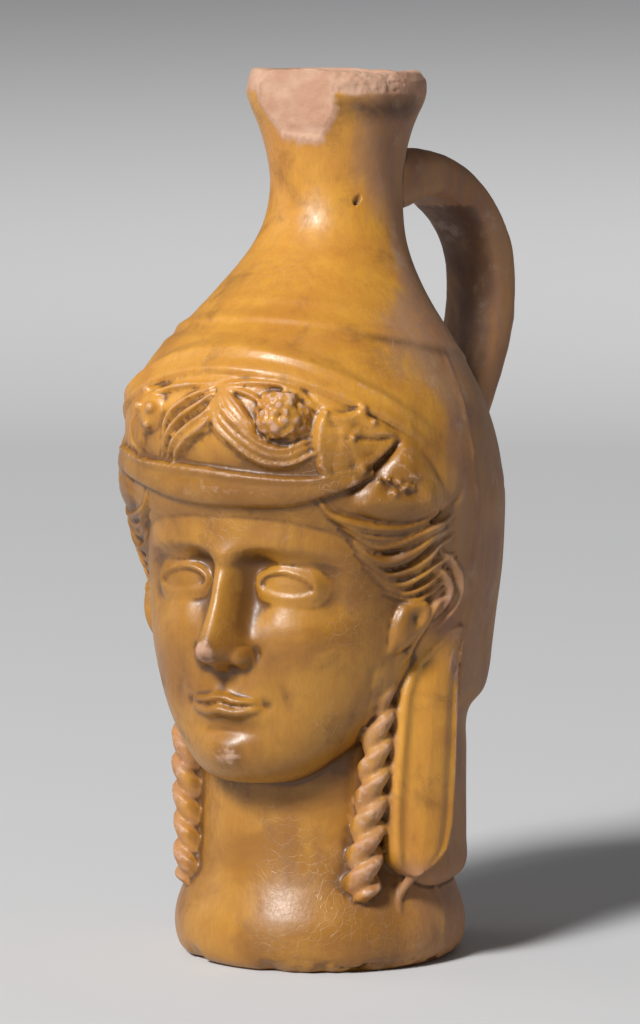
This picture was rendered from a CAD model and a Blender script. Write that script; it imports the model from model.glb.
import math

import bmesh
import bpy
import numpy as np
from mathutils import Matrix, Vector


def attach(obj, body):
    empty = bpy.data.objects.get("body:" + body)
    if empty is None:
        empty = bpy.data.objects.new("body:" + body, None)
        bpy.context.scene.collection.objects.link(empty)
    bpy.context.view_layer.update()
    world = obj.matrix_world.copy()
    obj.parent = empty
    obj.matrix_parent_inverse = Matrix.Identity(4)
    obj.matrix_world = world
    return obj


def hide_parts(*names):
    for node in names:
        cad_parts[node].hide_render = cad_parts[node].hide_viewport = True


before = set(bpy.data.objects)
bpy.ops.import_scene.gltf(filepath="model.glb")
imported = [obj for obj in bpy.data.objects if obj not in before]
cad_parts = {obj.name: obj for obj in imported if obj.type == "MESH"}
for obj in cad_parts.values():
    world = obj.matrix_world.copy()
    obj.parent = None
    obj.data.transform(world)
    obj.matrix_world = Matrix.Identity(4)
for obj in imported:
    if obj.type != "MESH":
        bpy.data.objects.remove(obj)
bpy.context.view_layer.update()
mm = 0.001  # shapes are worked out in millimetres and turned to metres when a mesh is made


# small helpers

def step(x, low, high):
    t = np.clip((np.asarray(x, float) - low) / (high - low), 0.0, 1.0)
    return t * t * (3.0 - 2.0 * t)


def bell(x, width):
    return np.exp(-(np.asarray(x, float) / width) ** 2)


def curveThrough(rows):
    # a smooth curve through rows whose first number rises
    table = np.array(rows, float)
    at, values = table[:, 0], table[:, 1:]
    n = len(at)
    before = np.clip(np.arange(n) - 1, 0, n - 1)
    after = np.clip(np.arange(n) + 1, 0, n - 1)
    slopes = (values[after] - values[before]) / (at[after] - at[before])[:, None]

    def evaluate(x):
        x = np.asarray(x, float)
        i = np.clip(np.searchsorted(at, x, side="right") - 1, 0, n - 2)
        span = at[i + 1] - at[i]
        t = np.clip((x - at[i]) / span, 0.0, 1.0)[..., None]
        span = span[..., None]
        return ((1 + 2 * t) * (1 - t) ** 2 * values[i] + t * (1 - t) ** 2 * span * slopes[i]
                + t * t * (3 - 2 * t) * values[i + 1] + t * t * (t - 1) * span * slopes[i + 1])
    return evaluate


def smoothNoise(points, size, seed, octaves=3):
    # value noise on a lattice, the same each run; size is the lattice step in mm
    rng = np.random.default_rng(seed)
    lattice = rng.random((64, 64, 64)) * 2.0 - 1.0
    total = np.zeros(points.shape[:-1])
    amount = 1.0
    for octave in range(octaves):
        p = points / size * 2.0 ** octave + 17.3 * octave
        i = np.floor(p).astype(int)
        f = p - i
        f = f * f * (3 - 2 * f)
        value = 0.0
        for dx in (0, 1):
            for dy in (0, 1):
                for dz in (0, 1):
                    w = (np.where(dx, f[..., 0], 1 - f[..., 0]) * np.where(dy, f[..., 1], 1 - f[..., 1])
                         * np.where(dz, f[..., 2], 1 - f[..., 2]))
                    corner = tuple((i[..., axis] + d) % 64 for axis, d in enumerate((dx, dy, dz)))
                    value = value + w * lattice[corner]
        total += amount * value
        amount *= 0.5
    return total


def meshObject(name, verts, faces):
    mesh = bpy.data.meshes.new(name)
    mesh.from_pydata((np.asarray(verts, float) * mm).tolist(), [], faces)
    mesh.update()
    piece = bpy.data.objects.new(name, mesh)
    bpy.context.scene.collection.objects.link(piece)
    return piece


def ringMesh(name, rings):
    # rings is rows by columns by xyz, counterclockwise from above and rising; both ends are closed
    rows, columns = rings.shape[:2]
    j, i = np.meshgrid(np.arange(rows - 1), np.arange(columns), indexing="ij")
    k = (i + 1) % columns
    quads = np.stack([j * columns + i, j * columns + k, (j + 1) * columns + k, (j + 1) * columns + i], -1)
    faces = quads.reshape(-1, 4).tolist()
    low, high = rows * columns, rows * columns + 1
    last = (rows - 1) * columns
    faces += [[low, (n + 1) % columns, n] for n in range(columns)]
    faces += [[high, last + n, last + (n + 1) % columns] for n in range(columns)]
    verts = np.concatenate([rings.reshape(-1, 3), [rings[0].mean(0)], [rings[-1].mean(0)]])
    return meshObject(name, verts, faces)


def grid(low, high, rows, columns, start=0.0):
    # heights down the rows and a full turn across the columns
    height = np.linspace(low, high, rows)[:, None]
    turn = np.linspace(start, start + 2 * math.pi, columns, endpoint=False)[None, :]
    return np.broadcast_arrays(height, turn)


def hand(side):
    return "R" if side > 0 else "L"


def meshArrays(mesh):
    verts = np.empty(len(mesh.vertices) * 3)
    mesh.vertices.foreach_get("co", verts)
    edges = np.empty(len(mesh.edges) * 2, int)
    mesh.edges.foreach_get("vertices", edges)
    return verts.reshape(-1, 3), edges.reshape(-1, 2)


def neighbourMean(values, edges, count, degree):
    out = np.empty_like(values)
    for axis in range(values.shape[1]):
        column = values[:, axis]
        out[:, axis] = (np.bincount(edges[:, 0], column[edges[:, 1]], count)
                        + np.bincount(edges[:, 1], column[edges[:, 0]], count)) / degree
    return out


def bakeMesh(piece):
    # turns the live modifiers into a plain mesh
    depsgraph = bpy.context.evaluated_depsgraph_get()
    mesh = bpy.data.meshes.new_from_object(piece.evaluated_get(depsgraph), depsgraph=depsgraph)
    piece.modifiers.clear()
    old = piece.data
    piece.data = mesh
    mesh.name = piece.name
    bpy.data.meshes.remove(old)
    return piece


# the outer wall: height, middle's y, half width, depth in front of the middle, depth behind it

flaskSizes = {
    "rimHeight": 190.0,
    "spoutSetback": 7.0,
    "wallRows": 430,
    "wallColumns": 640,
    "voxel": 0.43,
    "meltPasses": 3,  # how far the glaze has rounded the relief
    "triangles": 172000,
}

wallStations = [
    [10, 0, 24, 14, 24],
    [15, 0, 27, 14, 27],
    [18.5, 0, 31.4, 15, 30.6],
    [25, 0, 31.6, 15, 31.6],
    [44, 0, 31.6, 15, 31.8],
    [50, 0, 31.4, 15, 32],
    [53.6, -0.1, 32.2, 16, 34],
    [56.6, -0.3, 34, 17, 40.4],
    [61, -0.5, 34.8, 18, 43.2],
    [66, -0.9, 35.6, 20, 43.6],
    [74, -1.5, 37, 24, 44],
    [84, -2.2, 38.8, 29, 45],
    [92, -2.8, 39.6, 34, 45.4],
    [100, -3.4, 40.2, 38.6, 44.6],
    [108, -3.8, 39.6, 39.6, 43],
    [114, -3.8, 38.4, 40.2, 40.6],
    [121, -3.4, 36.2, 39.8, 36.2],
    [127, -2.8, 33.2, 37.8, 32.2],
    [131, -2.3, 31, 35.2, 29.2],
    [134, -1.8, 29, 32.2, 27.2],
    [137, -1.2, 26.6, 28.6, 25.6],
    [140, -0.5, 24.3, 25.6, 23.9],
    [144, 0.9, 21.5, 22.3, 21.2],
    [148.5, 2.9, 18.6, 19, 18.3],
    [153, 4.8, 16.3, 16.6, 16.2],
    [158, 6.2, 14.9, 14.9, 14.9],
    [165, 7, 14.25, 14.25, 14.25],
    [171, 7, 14.8, 14.8, 14.8],
    [177, 7, 16.3, 16.3, 16.3],
    [184, 7, 19, 19, 19],
    [187, 7, 19, 19, 19],
    [190, 7, 17.8, 17.8, 17.8],
]
wallAt = curveThrough(wallStations)


def wallHeight(z):
    return np.clip(z, wallStations[0][0], wallStations[-1][0])


def ovalPoint(measures, angle, z, lift=0.0, power=2.0):
    middle, half, front, back = np.moveaxis(measures, -1, 0)
    depth = np.where(np.cos(angle) > 0, front, back)
    across, along = np.abs(np.sin(angle)) / half, np.abs(np.cos(angle)) / depth
    reach = (across ** power + along ** power) ** (-1 / power) + lift
    return np.stack([reach * np.sin(angle), middle - reach * np.cos(angle), z + 0 * reach], -1)


# the relief of the wall, as heights over the plain oval, by degrees from the front and height

wreath = {
    "foldTop": 133.2, "foldTopFall": 26.0, "foldCrease": 126.9, "foldCreaseFall": 24.0, "foldProud": 1.5,
    "shoulderStep": 138.4, "shoulderFall": 6.5, "shoulderProud": 0.8,
    "leafLift": 1.9, "budLift": 2.5, "farSide": 0.55,
    "leaf": [(31, 113.6), (31.6, 117.4), (34.2, 120.2), (38.6, 119.4), (42.4, 119.6), (46, 120.6),
             (48.6, 118), (52, 117.2), (57.6, 113.6), (51, 109.4), (46, 107.4), (41.6, 105.2),
             (36.2, 104.4), (32.8, 106.8), (31.6, 110)],
    "veins": [((41, 114.5), (45.5, 120)), ((38.5, 114.4), (35, 119)), ((41, 114), (43, 106.5)),
              ((37.5, 114.2), (35.5, 106))],
    "bud": [(54.8, 110.4), (57, 112.6), (61.5, 112.6), (67.7, 109), (72, 104.6), (72.8, 100.2), (69, 97),
            (62, 95.6), (53.4, 96.2), (46, 98), (42.6, 100.4), (45.5, 103.6), (50.5, 106)],
}


def roundedOutline(outline, per=6):
    # a closed curve through the corners
    corners = np.array(outline, float)
    n = len(corners)
    looped = np.concatenate([corners[-2:], corners, corners[:3]])
    t = np.arange(-2, n + 3)
    curve = curveThrough([[t[k], *looped[k]] for k in range(len(t))])
    return curve(np.linspace(0, n, n * per, endpoint=False))


def outlineDistance(degrees, z, outline, perDegree=0.72):
    # signed distance in mm to a closed outline on the unrolled wall, negative inside
    corners = roundedOutline(outline)
    x, y = degrees * perDegree, z
    cx, cy = corners[:, 0] * perDegree, corners[:, 1]
    nearest = np.full(np.shape(x), 1e9)
    inside = np.zeros(np.shape(x), bool)
    for n in range(len(corners)):
        ax, ay, bx, by = cx[n], cy[n], cx[(n + 1) % len(cx)], cy[(n + 1) % len(cx)]
        t = np.clip(((x - ax) * (bx - ax) + (y - ay) * (by - ay)) / ((bx - ax) ** 2 + (by - ay) ** 2), 0, 1)
        nearest = np.minimum(nearest, np.hypot(x - ax - t * (bx - ax), y - ay - t * (by - ay)))
        crosses = ((ay > y) != (by > y)) & (x < (bx - ax) * (y - ay) / (by - ay + 1e-12) + ax)
        inside ^= crosses
    return np.where(inside, -nearest, nearest)


def wallRelief(angle, z):
    degrees = np.degrees(angle)
    side = np.abs(degrees)
    fall = 1 - np.cos(angle)
    forward = step(np.cos(angle), 0.2, 0.62)
    w = wreath
    share = np.where(degrees > 0, 1.0, w["farSide"])  # the left of the mould had worn flatter
    # the rolled edge of the kerchief over the hair: a lip, a soft roll and a crease under it
    top = w["foldTop"] - w["foldTopFall"] * fall
    crease = w["foldCrease"] - w["foldCreaseFall"] * fall
    roll = w["foldProud"] * step(z, crease - 0.4, crease + 1.3) * (1 - step(z, top - 0.6, top + 1.6))
    lip = 0.38 * bell(z - top + 0.4, 1.0) - 0.3 * bell(z - top + 2.6, 1.2)
    pinch = 0.22 * bell(z - crease - 3.0 - 1.2 * np.sin(3 * angle), 0.7)
    under = 0.45 * step(z, crease - 3.2, crease - 2.2) * (1 - step(z, crease - 0.9, crease + 0.2))
    relief = (roll + lip - pinch + under) * forward
    # the turned step that runs round the shoulder
    stepZ = w["shoulderStep"] - w["shoulderFall"] * fall
    around = 0.45 + 0.55 * forward
    relief = relief + w["shoulderProud"] * (bell(z - stepZ, 1.0) - 0.5 * bell(z - stepZ + 2.2, 1.1)) * around
    relief = relief + 0.4 * bell(z - stepZ - 3.8, 0.9) * forward * step(np.cos(angle), 0.4, 0.8)
    relief = relief + 0.4 * bell(z - stepZ + 4.4 + 0.02 * degrees, 0.9) * forward * step(-degrees, -26, 4)
    # the far temple of the mould stands prouder under the kerchief
    relief = relief + 1.6 * bell(degrees + 60, 24) * bell(z - 124, 9)
    # a hollow round each corymb
    ring = np.hypot((side - corymb["degrees"] - 3 * (degrees < 0)) * 0.68, z - corymb["z"])
    relief = relief - 0.8 * bell(ring - 5.6, 1.5)
    # ivy leaf and the swollen leaf beside it, on both sides
    leaf = outlineDistance(side, z, w["leaf"])
    ribZ = 114.6 - 0.03 * (side - 31)
    plate = w["leafLift"] * (1 - 0.010 * np.clip(side - 34, 0, 30)) + 0.05 * (z - 113)
    cup = 0.6 * step(-leaf, 0.5, 2.6) - 0.35 * bell(z - ribZ - 0.9, 0.6) * step(-leaf, 0.6, 2.0)
    cup = cup + 0.75 * bell(z - ribZ, 0.5) * step(-leaf, 0.2, 1.2) * step(side, 38, 43)
    for (veinSide, veinZ), (tipSide, tipZ) in w["veins"]:
        run, rise = tipSide - veinSide, tipZ - veinZ
        along = ((side - veinSide) * run * 0.5 + (z - veinZ) * rise) / (run ** 2 * 0.5 + rise ** 2)
        along = np.clip(along, 0, 1)
        off = np.hypot((side - veinSide - along * run) * 0.72, z - veinZ - along * rise)
        cup = cup + 0.25 * bell(off, 0.6)
    lumps = np.stack([side * 0.7, 0 * z, z + 0 * side], -1)
    cup = cup - 0.3 * smoothNoise(lumps, 3.6, 71, 2)
    relief = np.maximum(relief, (step(-leaf, -0.8, 1.3) * (plate - cup)) * share)
    bud = outlineDistance(side, z, w["bud"])
    swell = w["budLift"] * np.sqrt(np.clip(-bud, 0, 5.0) / 5.0)
    ledgeZ = 105.6 - 0.06 * (side - 52)
    ledge = 0.7 * step(ledgeZ - z, -0.4, 0.3) * (1 - step(ledgeZ - z, 1.5, 5.5)) * step(side, 49, 53)
    ledge = ledge * (1 - step(side, 60, 65))
    ridge = 0.35 * bell((z - 104) + (side - 62) * 0.9, 1.6)
    relief = np.maximum(relief, (swell - (ledge - ridge) * step(-bud, 0.2, 1.5)) * share)
    # the deep undercut between the two leaves, and the one under the wreath
    along = np.clip((side - 42) / (57.5 - 42), 0, 1)
    gapZ = 103.4 + 9.4 * along
    relief = relief - 1.7 * bell(z - gapZ, 0.95) * step(side, 39, 45) * (1 - step(side, 56.5, 59)) * share
    undercut = bell(z - 95.2 - 0.012 * (side - 58) ** 2, 1.0) * step(side, 42, 50) * (1 - step(side, 78, 84))
    relief = relief - 0.7 * undercut
    # mould seams at both sides
    seam = bell((side - 90) * 0.7, 0.7) * (0.22 + 0.12 * np.sin(z * 0.7))
    relief = relief + seam * (1 - step(z, 126, 140))
    # the potter's hand: the wall is never quite true
    here = np.stack([np.sin(angle) * 40, np.cos(angle) * 40, z + 0 * angle], -1)
    return relief + 0.22 * smoothNoise(here, 26, 3, 2)


def onWall(degrees, z, lift=0.0):
    angle = np.radians(degrees)
    return ovalPoint(wallAt(z), angle, np.asarray(z, float), lift)


def outerWall():
    s = flaskSizes
    z, turn = grid(wallStations[0][0], s["rimHeight"], s["wallRows"], s["wallColumns"], -math.pi)
    angle = turn - 0.45 * np.sin(turn)  # columns crowd towards the front
    return ringMesh("outerWall", ovalPoint(wallAt(z), angle, z, wallRelief(angle, z)))


# the throat and the foot: height and radius

bustProfile = [
    [0, 27.7], [0.8, 29.5], [2.4, 30.7], [5, 31.4], [8, 31.4], [11, 30.8], [14.5, 29.5], [19, 27.9],
    [25, 26.8], [34, 26.0], [46, 25.8], [62, 25.2],
]


def bust():
    z, angle = grid(bustProfile[0][0], bustProfile[-1][0], 150, 420)
    radius = curveThrough(bustProfile)(z)[..., 0]
    degrees = (np.degrees(angle) + 180) % 360 - 180
    radius = radius + 0.35 * bell((np.abs(degrees) - 88) * 0.55, 0.8) * step(z, 3, 10)
    here = np.stack([np.sin(angle) * 30, np.cos(angle) * 30, z], -1)
    radius = radius + 0.28 * smoothNoise(here, 17, 8, 2) * step(z, 1, 5)
    nicks = np.clip(smoothNoise(here, 5.2, 9, 2) - 0.25, 0, 1)
    radius = radius - 2.2 * nicks * (1 - step(z, 1.2, 4.6))
    return ringMesh("bust", np.stack([radius * np.sin(angle), -radius * np.cos(angle), z], -1))


# the head below the band: from the chin's height up to the hairline in three equal thirds,
# five eye widths across, the mouth a third of the way down the lowest third

faceRule = {"chinZ": 43.0, "third": 23.0, "eyeWidth": 12.4, "eyeDrop": 0.28}
noseBaseZ = faceRule["chinZ"] + faceRule["third"]
browZ = noseBaseZ + faceRule["third"]
eyeZ = browZ - faceRule["eyeDrop"] * faceRule["third"]
mouthZ = noseBaseZ - faceRule["third"] / 3

headStations = [
    [40.6, -24, 8, 8.4, 8],
    [42, -23.5, 11.4, 12.2, 12],
    [45, -21.5, 15.6, 16, 14],
    [49, -18.5, 19.8, 19.7, 16],
    [55, -14.5, 24.6, 24.2, 18],
    [62, -11, 28.2, 28, 18],
    [70, -8.5, 30.6, 31, 18],
    [80, -7, 32, 32.8, 18],
    [90, -6, 32.8, 34, 18],
    [100, -5, 33.4, 35.4, 18],
    [108, -4, 32, 34, 18],
]
headAt = curveThrough(headStations)


# the nose: height and how far it stands out, height and half width
noseBridge = [
    [60, 0], [64.6, 0.4], [66.2, 3.4], [67.6, 7.2], [69.4, 9.3], [71.6, 9.2],
    [75, 7.9], [80, 6.2], [85, 4.4], [89, 2.2], [93, 0.7], [98, 0],
]
noseHalfWidth = [[60, 4.6], [66, 4.4], [70, 4.5], [74, 3.7], [80, 3.1], [86, 3.2], [92, 4.6], [98, 6]]


def softMax(a, b, k):
    h = np.clip(0.5 + 0.5 * (a - b) / k, 0, 1)
    return b * (1 - h) + a * h + k * h * (1 - h)


def facePlan(x, z):
    # how far forward the finished face stands, from the plain depth given at each place
    side = np.abs(x)
    relief = 0.0 * x
    # brow: a soft edge over the sockets that runs down into the nose
    browLine = browZ + 1.4 - 0.016 * (side - 11.5) ** 2
    relief = relief + 0.75 * bell(z - browLine - 0.8, 3.0) * bell(side - 14.5, 9)
    # sockets under it, deepest beside the nose
    socket = step(browLine - z, -1.6, 2.6) * (1 - step(browLine - z, 7, 19))
    relief = relief - (2.0 + 2.6 * bell(side - 6.6, 3.6)) * socket * (1 - step(side, 19, 27))
    # cheeks and the fold beside the mouth
    relief = relief + 1.1 * bell(side - 17, 7.5) * bell(z - noseBaseZ - 5, 8)
    relief = relief - 0.7 * bell(side - 12.5, 2.6) * bell(z - mouthZ - 1.5, 5)
    # muzzle, chin and the hollow between them
    relief = relief + 1.9 * bell(x, 10.5) * bell(z - mouthZ, 7.5)
    relief = relief + 2.7 * bell(x, 8.2) * bell(z - faceRule["chinZ"] - 4.6, 4.4)
    relief = relief - 1.2 * bell(x, 7) * bell(z - mouthZ + 5.6, 1.8)
    return relief


def faceForms(x, z, plain):
    # the nose, eyes and lips, worked into the depth of the plain face
    side = np.abs(x)
    depth = plain + facePlan(x, z)
    # nose: bridge line and width from root to tip, then the ball and the wings
    bridge = curveThrough(noseBridge)(z)[..., 0]
    halfWidth = curveThrough(noseHalfWidth)(z)[..., 0]
    nose = bridge * np.exp(-np.abs(side / halfWidth) ** 2.6)
    depth = depth + nose
    wingR = np.hypot((side - 4.5) / 2.5, (z - noseBaseZ - 2.5) / 2.6)
    wing = 4.3 * np.sqrt(np.clip(1 - wingR ** 2, 0, 1))
    depth = softMax(depth, plain + facePlan(x, z) + wing, 0.7)
    depth = depth - 0.8 * bell(np.hypot(side - 7.3, (z - noseBaseZ - 3.2) * 0.7), 1.0)
    depth = depth - 1.5 * bell(np.hypot((side - 2.7) / 1.35, (z - noseBaseZ - 0.3) / 0.95), 1.0)
    # eyes: a ball face with thick lids round an almond opening
    dx = side - (faceRule["eyeWidth"] + 0.2)
    ballDepth = 36.2 - 0.17 * dx - dx ** 2 / 25 - (z - eyeZ) ** 2 / 14.5
    half = 6.1
    t = np.clip(dx / half, -1, 1)
    arch = np.sqrt(np.clip(1 - t * t, 0, 1))
    upper = eyeZ + 0.25 + 2.75 * arch ** 1.15 * (1 - 0.16 * t) - 0.25 * t
    lower = eyeZ + 0.25 - 1.75 * arch ** 1.25 * (1 + 0.12 * t) - 0.25 * t
    insideLids = np.minimum(upper - z, z - lower)
    opening = step(insideLids, -0.45, 0.45) * (np.abs(dx) < half)
    lidSpan = step(half + 2.4 - np.abs(dx), 0, 2.4)
    upperLid = ballDepth + 1.15 * lidSpan
    lowerLid = ballDepth + 0.75 * lidSpan
    lid = np.where(z > eyeZ, upperLid, lowerLid)
    nearEye = step(half + 2.6 - np.hypot(dx, (z - eyeZ) * 1.5), 0, 2.0)
    lidDepth = softMax(depth, lid, 0.8)
    depth = depth * (1 - nearEye) + lidDepth * nearEye
    # the crease above the upper lid
    creaseZ = upper + 1.75
    depth = depth - 0.55 * bell(z - creaseZ, 0.7) * step(half + 0.8 - np.abs(dx), 0, 2)
    ball = np.minimum(ballDepth, depth)
    depth = depth * (1 - opening) + ball * opening
    # lips: two soft rolls that meet in a line and end in small hollows
    half = 8.9
    t = np.clip(side / half, 0, 1)
    line = mouthZ + 0.45 * np.cos(side * 0.75) * bell(side, 5) - 0.3 * t
    taper = np.sqrt(np.clip(1 - t ** 2.2, 0, 1))
    bow = 2.6 - 0.55 * bell(side, 1.1) - 0.1 * side
    up = np.clip((z - line) / np.maximum(bow * taper, 0.05), 0, 1.6)
    down = np.clip((line - z) / np.maximum(3.1 * taper, 0.05), 0, 1.6)
    upperRoll, lowerRoll = (np.sin(np.clip(u, 0, 1) * math.pi) ** 0.75 for u in (up, down))
    upperLip = np.where(z >= line, upperRoll, 0) * 1.75 * taper
    lowerLip = np.where(z < line, lowerRoll, 0) * 2.15 * taper * (1 - 0.25 * t)
    depth = depth + upperLip + lowerLip
    depth = depth - 0.55 * bell(z - line, 0.42) * taper
    depth = depth - 0.8 * bell(np.hypot(side - half, z - mouthZ), 1.3)
    depth = depth - 0.45 * bell(x, 1.3) * bell(z - mouthZ - 5, 2.2)  # the groove under the nose
    return depth


def head():
    z, turn = grid(headStations[0][0], headStations[-1][0], 240, 400, -math.pi)
    angle = turn - 0.72 * np.sin(turn)  # columns crowd towards the face
    rings = ovalPoint(headAt(z), angle, z, 0.0, 2.12)
    x, plain = rings[..., 0], -rings[..., 1]
    forward = step(np.cos(angle), 0.1, 0.55)
    rings[..., 1] = -(plain * (1 - forward) + faceForms(x, z, plain) * forward)
    return ringMesh("head", rings)


# the band across the brow: degrees, lower edge and upper edge; a fine lip runs along the top

bandEdges = [
    [-60, 106, 110.4], [-45, 104.4, 110], [-30, 102.6, 108.6], [-18, 100.8, 108.3], [-5, 99.8, 107.9],
    [8, 99.7, 107], [23, 100.1, 106.2], [33, 101.8, 106.4], [42, 104, 107.8], [49, 105.8, 108.6],
]
bandSection = {"lift": 1.8, "lip": 0.32, "sink": 2.6}


def headband():
    degrees, turn = grid(bandEdges[0][0], bandEdges[-1][0], 220, 56)
    low, high = np.moveaxis(curveThrough(bandEdges)(degrees), -1, 0)
    ends = np.minimum(step(degrees, -60.5, -52), 1 - step(degrees, 42, 49.5))
    half = 0.5 * (high - low) * (0.5 + 0.5 * ends)
    up, out = np.cos(turn), np.sin(turn)
    z = 0.5 * (low + high) + half * np.sign(up) * np.abs(up) ** 0.7
    v = (z - low) / (high - low)
    face = bandSection["lift"] * np.abs(out) ** 0.5 * (0.35 + 0.65 * ends)
    face = face + bandSection["lip"] * bell(v - 0.9, 0.09) - 0.35 * bell(v - 0.72, 0.12)
    lift = np.where(out > 0, face, -bandSection["sink"] * np.abs(out))
    lift = lift + surfaceLift(degrees, 0.5 * (low + high))
    return ringMesh("headband", onWall(degrees, z, lift))


def surfaceLift(degrees, z):
    # how far the face stands outside the plain wall along the same ray
    angle = np.radians(degrees)
    middle, half, front, back = np.moveaxis(wallAt(z), -1, 0)
    headRows = headAt(np.clip(z, headStations[0][0], headStations[-1][0]))
    headMiddle, headHalf, headFront = np.moveaxis(headRows[..., :3], -1, 0)
    s, c = np.sin(angle), np.cos(angle)
    wallReach = 1 / np.hypot(s / half, c / np.where(c > 0, front, back))
    d = middle - headMiddle
    a = s * s / headHalf ** 2 + c * c / headFront ** 2
    b = d * c / headFront ** 2
    headReach = (b + np.sqrt(np.maximum(b * b - a * (d * d / headFront ** 2 - 1), 0))) / a
    inFace = (z < headStations[-1][0]) & (c > 0.2)
    return np.where(inFace, np.maximum(headReach - wallReach, 0), 0)


# hair, locks and handle are swept along paths by one node tree

def nodeTree(name, sockets):
    tree = bpy.data.node_groups.new(name, "GeometryNodeTree")
    ids = {}
    for label, kind, value in sockets:
        socket = tree.interface.new_socket(label, in_out="INPUT", socket_type=kind)
        if value is not None:
            socket.default_value = value
        ids[label] = socket.identifier
    tree.interface.new_socket("Mesh", in_out="OUTPUT", socket_type="NodeSocketGeometry")
    return tree, ids


def addNode(tree, kind, **settings):
    node = tree.nodes.new(kind)
    for key, value in settings.items():
        setattr(node, key, value)
    return node


def mathNode(tree, operation, first, second):
    node = addNode(tree, "ShaderNodeMath", operation=operation)
    for socket, value in zip(node.inputs, (first, second)):
        if isinstance(value, (int, float)):
            socket.default_value = value
        else:
            tree.links.new(value, socket)
    return node.outputs[0]


def times(tree, first, second):
    return mathNode(tree, "MULTIPLY", first, second)


def plus(tree, first, second):
    return mathNode(tree, "ADD", first, second)


def minus(tree, first, second):
    return mathNode(tree, "SUBTRACT", first, second)


def larger(tree, first, second):
    return mathNode(tree, "MAXIMUM", first, second)


def endTree(tree, geometry, material):
    # real geometry with its material leaves the tree
    realize = addNode(tree, "GeometryNodeRealizeInstances")
    paint = addNode(tree, "GeometryNodeSetMaterial")
    leave = addNode(tree, "NodeGroupOutput")
    tree.links.new(geometry, realize.inputs["Geometry"])
    tree.links.new(realize.outputs["Geometry"], paint.inputs["Geometry"])
    tree.links.new(material, paint.inputs["Material"])
    tree.links.new(paint.outputs["Geometry"], leave.inputs[0])


def sweepTree():
    # a path with a "girth" on each point becomes a tube; two profiles side by side wind into a rope
    tree, ids = nodeTree("sweptStrand", [
        ("Path", "NodeSocketGeometry", None), ("Samples", "NodeSocketInt", 40),
        ("Sides", "NodeSocketInt", 12), ("Flatness", "NodeSocketFloat", 1.0),
        ("Strands Apart", "NodeSocketFloat", 0.0),
        ("Turns", "NodeSocketFloat", 0.0), ("Lean", "NodeSocketFloat", 0.0),
        ("Material", "NodeSocketMaterial", None)])
    link = tree.links.new
    enter = addNode(tree, "NodeGroupInput").outputs
    curve = addNode(tree, "GeometryNodeMeshToCurve")
    smoothSpline = addNode(tree, "GeometryNodeCurveSplineType", spline_type="CATMULL_ROM")
    resample = addNode(tree, "GeometryNodeResampleCurve", mode="COUNT")
    tilt = addNode(tree, "GeometryNodeSetCurveTilt")
    along = addNode(tree, "GeometryNodeSplineParameter")
    circle = addNode(tree, "GeometryNodeCurvePrimitiveCircle", mode="RADIUS")
    circle.inputs["Radius"].default_value = 1.0
    scale = addNode(tree, "ShaderNodeCombineXYZ")
    scale.inputs["X"].default_value = 1.0
    scale.inputs["Z"].default_value = 1.0
    lean = addNode(tree, "ShaderNodeCombineXYZ")
    apart = [addNode(tree, "GeometryNodeTransform") for _ in range(2)]
    offset = [addNode(tree, "ShaderNodeCombineXYZ") for _ in range(2)]
    both = addNode(tree, "GeometryNodeJoinGeometry")
    girth = addNode(tree, "GeometryNodeInputNamedAttribute", data_type="FLOAT")
    girth.inputs["Name"].default_value = "girth"
    sweep = addNode(tree, "GeometryNodeCurveToMesh")
    sweep.inputs["Fill Caps"].default_value = True
    link(enter["Path"], curve.inputs["Mesh"])
    link(curve.outputs["Curve"], smoothSpline.inputs["Curve"])
    link(smoothSpline.outputs["Curve"], resample.inputs["Curve"])
    link(enter["Samples"], resample.inputs["Count"])
    link(resample.outputs["Curve"], tilt.inputs["Curve"])
    turns = times(tree, enter["Turns"], 2 * math.pi)
    link(times(tree, turns, along.outputs["Factor"]), tilt.inputs["Tilt"])
    link(enter["Sides"], circle.inputs["Resolution"])
    link(enter["Flatness"], scale.inputs["Y"])
    link(enter["Lean"], lean.inputs["Z"])
    for n, way in enumerate((1.0, -1.0)):
        link(times(tree, enter["Strands Apart"], way), offset[n].inputs["X"])
        link(circle.outputs["Curve"], apart[n].inputs["Geometry"])
        link(offset[n].outputs[0], apart[n].inputs["Translation"])
        link(scale.outputs[0], apart[n].inputs["Scale"])
        link(lean.outputs[0], apart[n].inputs["Rotation"])
        link(apart[n].outputs["Geometry"], both.inputs[0])
    link(tilt.outputs["Curve"], sweep.inputs["Curve"])
    link(both.outputs[0], sweep.inputs["Profile Curve"])
    link(girth.outputs["Attribute"], sweep.inputs["Scale"])
    endTree(tree, sweep.outputs["Mesh"], enter["Material"])
    return tree, ids


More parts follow.
